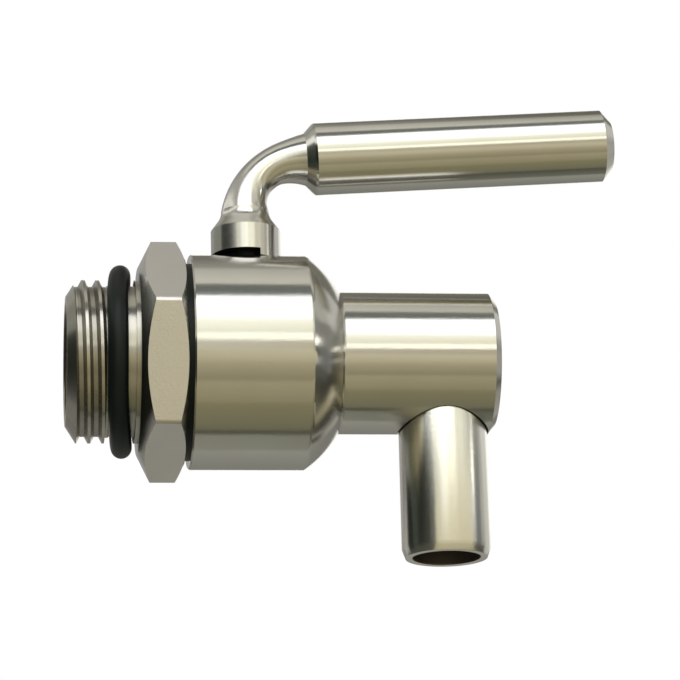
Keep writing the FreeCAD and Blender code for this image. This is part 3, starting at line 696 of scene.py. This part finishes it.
def thread_groove():
    """Coil with the section of the groove of a G 1/2 thread, right-hand, run out behind the ring."""
    root_radius = thread_radius - THREAD_DEPTH
    height = THREAD_DEPTH + COIL_EXCESS
    crest_width = GROOVE_ROOT_FLAT + 2 * height * math.tan(THREAD_FLANK)
    middle_radius = root_radius + height / 2
    bpy.ops.mesh.primitive_plane_add(size=1, location=(GROOVE_START_X, middle_radius, 0))
    coil = bpy.context.object
    coil.name = "thread_groove"
    coil.scale = (crest_width, height, 1)
    apply_place(coil)
    bpy.ops.object.mode_set(mode="EDIT")
    select_vertices(lambda place: place.y < middle_radius)
    bpy.ops.transform.resize(
        value=(GROOVE_ROOT_FLAT / crest_width, 1, 1),
        center_override=(GROOVE_START_X, root_radius, 0),
    )
    bpy.ops.mesh.select_all(action="SELECT")
    bpy.ops.mesh.delete(type="ONLY_FACE")
    bpy.ops.object.mode_set(mode="OBJECT")
    screw = coil.modifiers.new("coil", "SCREW")
    screw.axis = "X"
    screw.angle = 2 * math.pi
    screw.iterations = GROOVE_TURNS
    screw.screw_offset = THREAD_PITCH
    screw.steps = screw.render_steps = GROOVE_STEPS
    screw.use_merge_vertices = False
    bpy.ops.object.modifier_apply(modifier=screw.name)
    bpy.ops.object.mode_set(mode="EDIT")
    bpy.ops.mesh.select_all(action="DESELECT")
    bpy.ops.mesh.select_non_manifold()
    bpy.ops.mesh.fill_holes(sides=4)
    bpy.ops.mesh.select_all(action="SELECT")
    bpy.ops.mesh.normals_make_consistent(inside=False)
    bpy.ops.object.mode_set(mode="OBJECT")
    return coil


def make_threaded_nose():
    """Threaded nose, relief and spigot of the inlet connector, bored through."""
    relief_radius = thread_radius - RELIEF_DEPTH
    bore_end = nose_end + bore_depth
    cone_end = bore_end + bore_radius - SEAT_BORE_RADIUS
    profile = [
        (nose_end, bore_radius + MOUTH_BREAK),
        (nose_end, thread_radius - NOSE_CHAMFER_DEPTH),
        (nose_end + NOSE_CHAMFER_LENGTH, thread_radius),
        (thread_half, thread_radius),
        (thread_half, relief_radius),
        (relief_end, relief_radius),
        (relief_end, thread_radius),
        (hexagon_right - HIDDEN_LAP, thread_radius),
        (hexagon_right - HIDDEN_LAP, SPIGOT_RADIUS),
        (spigot_end - SPIGOT_CHAMFER, SPIGOT_RADIUS),
        (spigot_end, SPIGOT_RADIUS - SPIGOT_CHAMFER),
        (spigot_end, SEAT_POCKET_RADIUS),
        (SEAT_BACK_X, SEAT_POCKET_RADIUS),
        (SEAT_BACK_X, SEAT_BORE_RADIUS),
        (cone_end, SEAT_BORE_RADIUS),
        (bore_end, bore_radius),
        (nose_end + MOUTH_BREAK, bore_radius),
    ]
    nose = turned_blank("connector_nose", profile, TURNED_SIDES)
    boolean(nose, thread_groove(), "DIFFERENCE")
    shade_smooth(nose)
    return nose


def make_hexagon():
    """Hexagon of the inlet connector, turned down at its corners on both faces."""
    left_radius = ACROSS_FLATS / 2 - LEFT_CHAMFER_INSET
    right_radius = ACROSS_FLATS / 2 - RIGHT_CHAMFER_INSET
    width = hexagon_right - hexagon_left
    hexagon_middle = (hexagon_left + hexagon_right) / 2
    peak = (width + LEFT_CHAMFER_SLOPE * left_radius + RIGHT_CHAMFER_SLOPE * right_radius) / (
        LEFT_CHAMFER_SLOPE + RIGHT_CHAMFER_SLOPE
    )
    bore = thread_radius - HIDDEN_LAP
    chamfers = [
        (hexagon_left, bore),
        (hexagon_left, left_radius),
        (hexagon_left + LEFT_CHAMFER_SLOPE * (peak - left_radius), peak),
        (hexagon_right, right_radius),
        (hexagon_right, bore),
    ]
    bpy.ops.mesh.primitive_cylinder_add(
        vertices=6,
        radius=ACROSS_FLATS / 2 / math.cos(math.pi / 6),
        depth=width,
        location=(hexagon_middle, 0, 0),
        rotation=(0, math.pi / 2, 0),
    )
    hexagon = bpy.context.object
    hexagon.name = "connector_hexagon"
    apply_place(hexagon)
    hexagon.rotation_euler = (math.pi / 6 + HEXAGON_CLOCK, 0, 0)
    apply_place(hexagon)
    bpy.ops.object.mode_set(mode="EDIT")
    select_edges(lambda middle: abs(middle.x - hexagon_middle) < MERGE_DISTANCE)
    bpy.ops.mesh.bevel(offset=HEXAGON_CORNER_ROUND, segments=HEXAGON_CORNER_SEGMENTS, affect="EDGES")
    bpy.ops.object.mode_set(mode="OBJECT")
    boolean(hexagon, turned_blank("hexagon_chamfers", chamfers, CHAMFER_SIDES), "INTERSECT")
    round_edges(hexagon, HEXAGON_EDGE_ROUND, HEXAGON_EDGE_SEGMENTS)
    shade_smooth(hexagon)
    flatten_faces(hexagon)
    return hexagon


def make_drop_tube():
    """Drop tube of the spout, chamfered and faced at its mouth."""
    low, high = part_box("spout_tube")
    length = high.z - low.z
    profile = [
        (0.0, spout_bore_radius),
        (0.0, spout_radius),
        (length - TUBE_CHAMFER_LENGTH, spout_radius),
        (length, spout_radius - TUBE_CHAMFER_DEPTH),
        (length, spout_bore_radius + TUBE_MOUTH_BREAK),
        (length - TUBE_MOUTH_BREAK, spout_bore_radius),
    ]
    tube = turned_blank("drop_tube", profile, TURNED_SIDES)
    round_edges(tube, TUBE_EDGE_ROUND, TUBE_EDGE_SEGMENTS)
    shade_smooth(tube)
    tube.rotation_euler = (0, math.pi / 2, 0)
    tube.location = (spout_x, 0, high.z)
    apply_place(tube)
    return tube


def make_wavy_ring():
    """Sealing ring that has crept along its seat: its front has moved towards the thread."""
    low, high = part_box("inlet_o_ring")
    section = high.x - low.x
    middle_radius = high.z - section / 2
    bpy.ops.mesh.primitive_torus_add(
        major_segments=TURNED_SIDES,
        minor_segments=RING_SECTION_SIDES,
        major_radius=middle_radius,
        minor_radius=section / 2,
        location=(relief_end - RING_BACK_PLAY - section / 2, 0, 0),
        rotation=(0, math.pi / 2, 0),
    )
    ring = bpy.context.object
    ring.name = "wavy_o_ring"
    apply_place(ring)
    bpy.ops.object.mode_set(mode="EDIT")
    select_vertices(lambda place: place.y < -RING_FRONT_SHARE * middle_radius)
    bpy.ops.transform.translate(
        value=(-RING_CREEP, 0, 0),
        use_proportional_edit=True,
        proportional_edit_falloff="SMOOTH",
        proportional_size=RING_CREEP_REACH,
    )
    bpy.ops.object.mode_set(mode="OBJECT")
    bpy.ops.object.shade_smooth()
    return ring


PIECES = [
    # piece, its material, its slot in the record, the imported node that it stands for
    (make_threaded_nose(), connector_steel, "stainless_connector", "inlet_connector"),
    (make_hexagon(), hexagon_steel, "stainless_connector", "inlet_connector"),
    (make_drop_tube(), spout_steel, "stainless_tube", "spout_tube"),
    (make_wavy_ring(), black_rubber, "rubber_black", "inlet_o_ring"),
]
for piece, material, material_slot, stood_for in PIECES:
    piece.data.materials.append(material)
    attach(piece, "housing")
    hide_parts(stood_for)


# The set: strips of card all round the tap, and panels at their ends, which only reflections see
CARD_DISTANCE = 0.6
LEFT_END = -0.42
RIGHT_END = 1.35
BESIDE_HUB = -0.08
GRADED_ALONG_FLOW = {"sill_left"}
STRIPS = [
    # name, degrees up from the viewer, metres along the flow from the stem, edge colours, strength
    ("wall_low_left", 128, 176, -0.34, 0.0, "#B0AEAA", "#A4A29E", 1.0),
    ("wall_low", 128, 148, 0.0, 0.5, "#848278", "#76746A", 1.0),
    ("wall_back", 148, 176, 0.0, 0.5, "#F0EEE6", "#E4E2DA", 1.4),
    ("wall_low_right", 128, 176, 0.5, 1.3, "#E4E2DC", "#C8C6BE", 1.0),
    ("wall_high", 104, 128, -0.34, 0.085, "#B4B2A8", "#86847A", 1.0),
    ("wall_high_neck", 104, 128, 0.085, 0.5, "#7E7C70", "#6E6C62", 1.0),
    ("wall_high_right", 104, 128, 0.5, 1.3, "#DCDAD2", "#E4E2DC", 1.0),
    ("ceiling", 76.5, 104, -0.4, 0.085, "#F6F4E6", "#D2D0C6", 1.0),
    ("ceiling_right", 76.5, 104, 0.085, 1.3, "#E6E4D6", "#AEACA0", 1.0),
    ("beam", 59.5, 76.5, -0.4, 0.085, "#767C7A", "#747872", 1.0),
    ("beam_right", 62.5, 76.5, 0.085, 1.3, "#6A706E", "#8E9086", 1.0),
    ("window", 33, 59.5, -0.36, 0.085, "#FFFFFC", "#FFFFFF", 2.3),
    ("window_right", 33, 62.5, 0.085, 0.24, "#FFFFFC", "#FFFFFF", 2.3),
    ("window_far", 33, 62.5, 0.24, 0.8, "#E4E2D4", "#F4F2E8", 1.0),
    ("window_end", 33, 62.5, 0.8, 1.3, "#ACAAA0", "#ACAAA0", 1.0),
    ("blind_far_left", 17, 33, -0.36, -0.2, "#D4D2C0", "#FFFFEC", 1.4),
    ("blind_left", 18.5, 33, -0.2, 0.03, "#FFFFEE", "#FFFFF4", 1.8),
    ("blind", 17, 33, 0.03, 0.25, "#DAD8BE", "#FFFFEC", 1.6),
    ("curtain", 17, 24, 0.25, 0.6, "#D4D0BC", "#D2CFBD", 1.05),
    ("curtain_high", 24, 33, 0.25, 0.6, "#F0EEDA", "#F0EEDA", 1.3),
    ("curtain_end", 17, 22, 0.6, 1.3, "#A09D8C", "#A09D8C", 1.0),
    ("curtain_end_high", 22, 33, 0.6, 1.3, "#D2CFBC", "#D2CFBC", 1.1),
    ("sill", 9, 16.5, 0.03, 0.3, "#FFFDE8", "#FFFDE8", 2.1),
    ("sill_right", 9, 16.5, 0.3, 1.3, "#FFFDE8", "#FFFDE8", 1.2),
    ("sill_left", 9, 17, -0.36, 0.03, "#6A6860", "#FFFFF0", 2.0),
    ("shelf_far_left", -1, 9, -0.36, -0.15, "#B0AE9E", "#B4B2A2", 1.0),
    ("shelf_left", -1, 9, -0.15, 0.045, "#F4F2E2", "#F4F2E2", 1.1),
    ("shelf", -1, 9, 0.045, 1.3, "#D8CEB0", "#BCB096", 1.0),
    ("room", -14, -1, -0.36, 1.3, "#D4CAA8", "#ECE4C2", 1.0),
    ("viewer", -34, -14, -0.36, 1.3, "#A29A7C", "#CAC0A0", 1.0),
    ("bench_far", -58, -34, -0.36, 1.3, "#A8A080", "#BEB694", 1.0),
    ("bench_near", -91, -58, -0.36, 1.3, "#84826A", "#9A9472", 1.0),
    ("bench_edge", -97, -91, -0.36, 1.3, "#605E50", "#605E50", 1.0),
    ("under", -122, -97, -0.36, 0.085, "#A2A294", "#A2A496", 1.0),
    ("under_right", -122, -97, 0.085, 1.3, "#7E7E72", "#606256", 1.0),
    ("under_back", -184, -122, -0.36, 0.45, "#807E78", "#AEAEA4", 1.0),
    ("under_back_far", -184, -150, 0.45, 1.3, "#C8C6BC", "#A8A69C", 1.0),
    ("under_back_right", -150, -122, 0.45, 1.3, "#33332C", "#5A5648", 1.0),
]
PANELS = [
    # name, place along the flow, metres away from the viewer, metres up, colour, strength
    ("doorway_near", LEFT_END, (-1.2, -0.42), (-0.13, 0.26), "#4A4C44", 1.0),
    ("doorway", LEFT_END, (-0.42, -0.06), (-0.13, 0.26), "#181C18", 1.0),
    ("doorway_middle", LEFT_END, (-0.06, 0.09), (-0.13, 0.26), "#39423A", 1.0),
    ("doorway_far", LEFT_END, (0.09, 0.3), (-0.13, 0.26), "#161814", 1.0),
    ("door_frame", LEFT_END, (0.3, 1.2), (0.06, 0.26), "#6C6A64", 1.0),
    ("door_step", LEFT_END, (0.3, 1.2), (-0.13, 0.06), "#AEACA6", 1.0),
    ("left_window", LEFT_END, (-1.2, 1.2), (0.26, 0.4), "#F0F0E8", 1.5),
    ("left_ceiling", LEFT_END, (-1.2, 1.2), (0.4, 1.2), "#BCBAB2", 1.0),
    ("left_bench", LEFT_END, (-1.2, 1.2), (-1.2, -0.13), "#4C4A42", 1.0),
    ("hub_reflector", BESIDE_HUB, (0.002, 0.13), (0.034, 0.08), "#989A90", 1.0),
    ("right_ceiling_near", RIGHT_END, (-1.2, -0.4), (0.46, 1.2), "#D6D4CA", 1.0),
    ("right_ceiling", RIGHT_END, (-0.4, 1.2), (0.46, 1.2), "#8E8C84", 1.0),
    ("right_lintel", RIGHT_END, (-1.2, 0.05), (0.35, 0.46), "#8E8C84", 1.0),
    ("right_window", RIGHT_END, (-0.6, -0.34), (0.22, 0.35), "#FFFFF4", 5.0),
    ("right_jamb", RIGHT_END, (-0.34, 0.05), (0.24, 0.35), "#7A7872", 1.0),
    ("right_curtain", RIGHT_END, (0.05, 1.2), (0.28, 0.46), "#9C9A92", 1.0),
    ("right_wall_near", RIGHT_END, (-1.2, -0.3), (0.0, 0.22), "#3A3A34", 1.0),
    ("right_wall", RIGHT_END, (-0.3, 0.05), (-0.1, 0.24), "#7C7E7C", 1.0),
    ("right_wall_far", RIGHT_END, (0.05, 0.12), (-0.1, 0.28), "#7C7E7C", 1.0),
    ("right_door", RIGHT_END, (0.12, 1.2), (-0.08, 0.28), "#B8B6AE", 1.0),
    ("right_bench", RIGHT_END, (-1.2, 0.12), (-0.3, -0.1), "#5C5E5A", 1.0),
    ("right_floor", RIGHT_END, (0.12, 1.2), (-0.3, -0.08), "#3E403A", 1.0),
    ("right_dark", RIGHT_END, (-1.2, 1.2), (-1.2, -0.3), "#403E36", 1.0),
]


def glowing_card(name, colours, strength, run):
    """Light of a card, whose colour may change from one edge to the other."""
    material, tree = new_material(name)
    colour = linear(colours[0])
    if colours[0] != colours[1]:
        place = add_node(
            tree, "ShaderNodeSeparateXYZ", {0: add_node(tree, "ShaderNodeUVMap").outputs[0]}
        )
        graded = add_node(
            tree,
            "ShaderNodeMix",
            {"Factor": place.outputs[run], 6: linear(colours[0]), 7: linear(colours[1])},
            data_type="RGBA",
        )
        colour = graded.outputs[2]
    glow = add_node(tree, "ShaderNodeEmission", {"Color": colour, "Strength": strength})
    finish_material(tree, glow)
    return material


def hang_card(name, place, turn, size, colours, strength, run="Y"):
    """Hang a card in the set. It shows in the tap's reflections and lights nothing else."""
    bpy.ops.mesh.primitive_plane_add(size=1, location=place, rotation=turn)
    card = bpy.context.object
    card.name = "card_" + name
    card.scale = (*size, 1)
    card.visible_camera = card.visible_shadow = card.visible_diffuse = False
    card.data.materials.append(glowing_card(card.name, colours, strength, run))


def hang_strip(name, low, high, left, right, low_colour, high_colour, strength):
    """A strip of card parallel to the flow axis, between two angles up from the viewer."""
    ends = [
        Vector((0, -math.cos(math.radians(angle)), math.sin(math.radians(angle)))) * CARD_DISTANCE
        for angle in (low, high)
    ]
    middle = (ends[0] + ends[1]) / 2 + Vector((stem_axis.x + (left + right) / 2, 0, 0))
    rise = ends[1] - ends[0]
    hang_card(
        name,
        middle,
        (math.atan2(rise.z, rise.y), 0, 0),
        (right - left, rise.length),
        (low_colour, high_colour),
        strength,
        run="X" if name in GRADED_ALONG_FLOW else "Y",
    )


def hang_panel(name, x, away, up, colour, strength):
    """A panel square to the flow axis, at one end of the strips."""
    hang_card(
        name,
        (x, sum(away) / 2, sum(up) / 2),
        (0, math.pi / 2, 0),
        (up[1] - up[0], away[1] - away[0]),
        (colour, colour),
        strength,
    )


for row in STRIPS:
    hang_strip(*row)
for row in PANELS:
    hang_panel(*row)

# Floor far below the tap, as white as the world behind it where the tap doesn't shade it
FLOOR_Z = -0.7
FLOOR_WIDTH = 12


def set_world():
    """White world, which lights the tap and stands behind it."""
    world = bpy.data.worlds.new("white_world")
    bpy.context.scene.world = world
    world.use_nodes = True
    tree = world.node_tree
    tree.nodes.clear()
    glow = add_node(
        tree, "ShaderNodeBackground", {"Color": linear("#FFFFFF"), "Strength": 1.0}
    )
    add_node(tree, "ShaderNodeOutputWorld", {"Surface": glow.outputs[0]})


def set_floor():
    """Matt white floor."""
    bpy.ops.mesh.primitive_plane_add(size=FLOOR_WIDTH, location=(stem_axis.x, 0, FLOOR_Z))
    floor = bpy.context.object
    floor.name = "floor"
    material, tree = new_material("white_floor")
    shader = add_node(
        tree, "ShaderNodeBsdfDiffuse", {"Color": linear("#FFFFFF"), "Roughness": 0.0}
    )
    finish_material(tree, shader)
    floor.data.materials.append(material)


set_world()
set_floor()

# Camera, fitted to the picture
PICTURE_PX = 680
FOCAL_PX = 3453.4
SENSOR_MM = 36.0
NEAREST_SEEN = 10 * MM
AIM = Vector((32.341, 0.0, 3.135)) * MM
CAMERA_DISTANCE = 447.02 * MM
YAW = math.radians(6.496)
PITCH = math.radians(15.767)
ROLL = math.radians(-1.394)


def set_camera():
    """Camera a little below the tap and to its left, looking up at it."""
    forward = Vector(
        (math.sin(YAW) * math.cos(PITCH), math.cos(YAW) * math.cos(PITCH), math.sin(PITCH))
    )
    level = Vector((math.cos(YAW), -math.sin(YAW), 0.0))
    right = math.cos(ROLL) * level + math.sin(ROLL) * level.cross(forward)
    up = right.cross(forward)
    lens = bpy.data.cameras.new("camera")
    lens.sensor_width = SENSOR_MM
    lens.lens = FOCAL_PX / PICTURE_PX * SENSOR_MM
    lens.clip_start = NEAREST_SEEN
    camera = bpy.data.objects.new("camera", lens)
    bpy.context.scene.collection.objects.link(camera)
    camera.matrix_world = Matrix.Translation(AIM - forward * CAMERA_DISTANCE) @ Matrix(
        (right, up, -forward)
    ).transposed().to_4x4()
    bpy.context.scene.camera = camera


set_camera()
bpy.context.scene.view_settings.view_transform = "Standard"
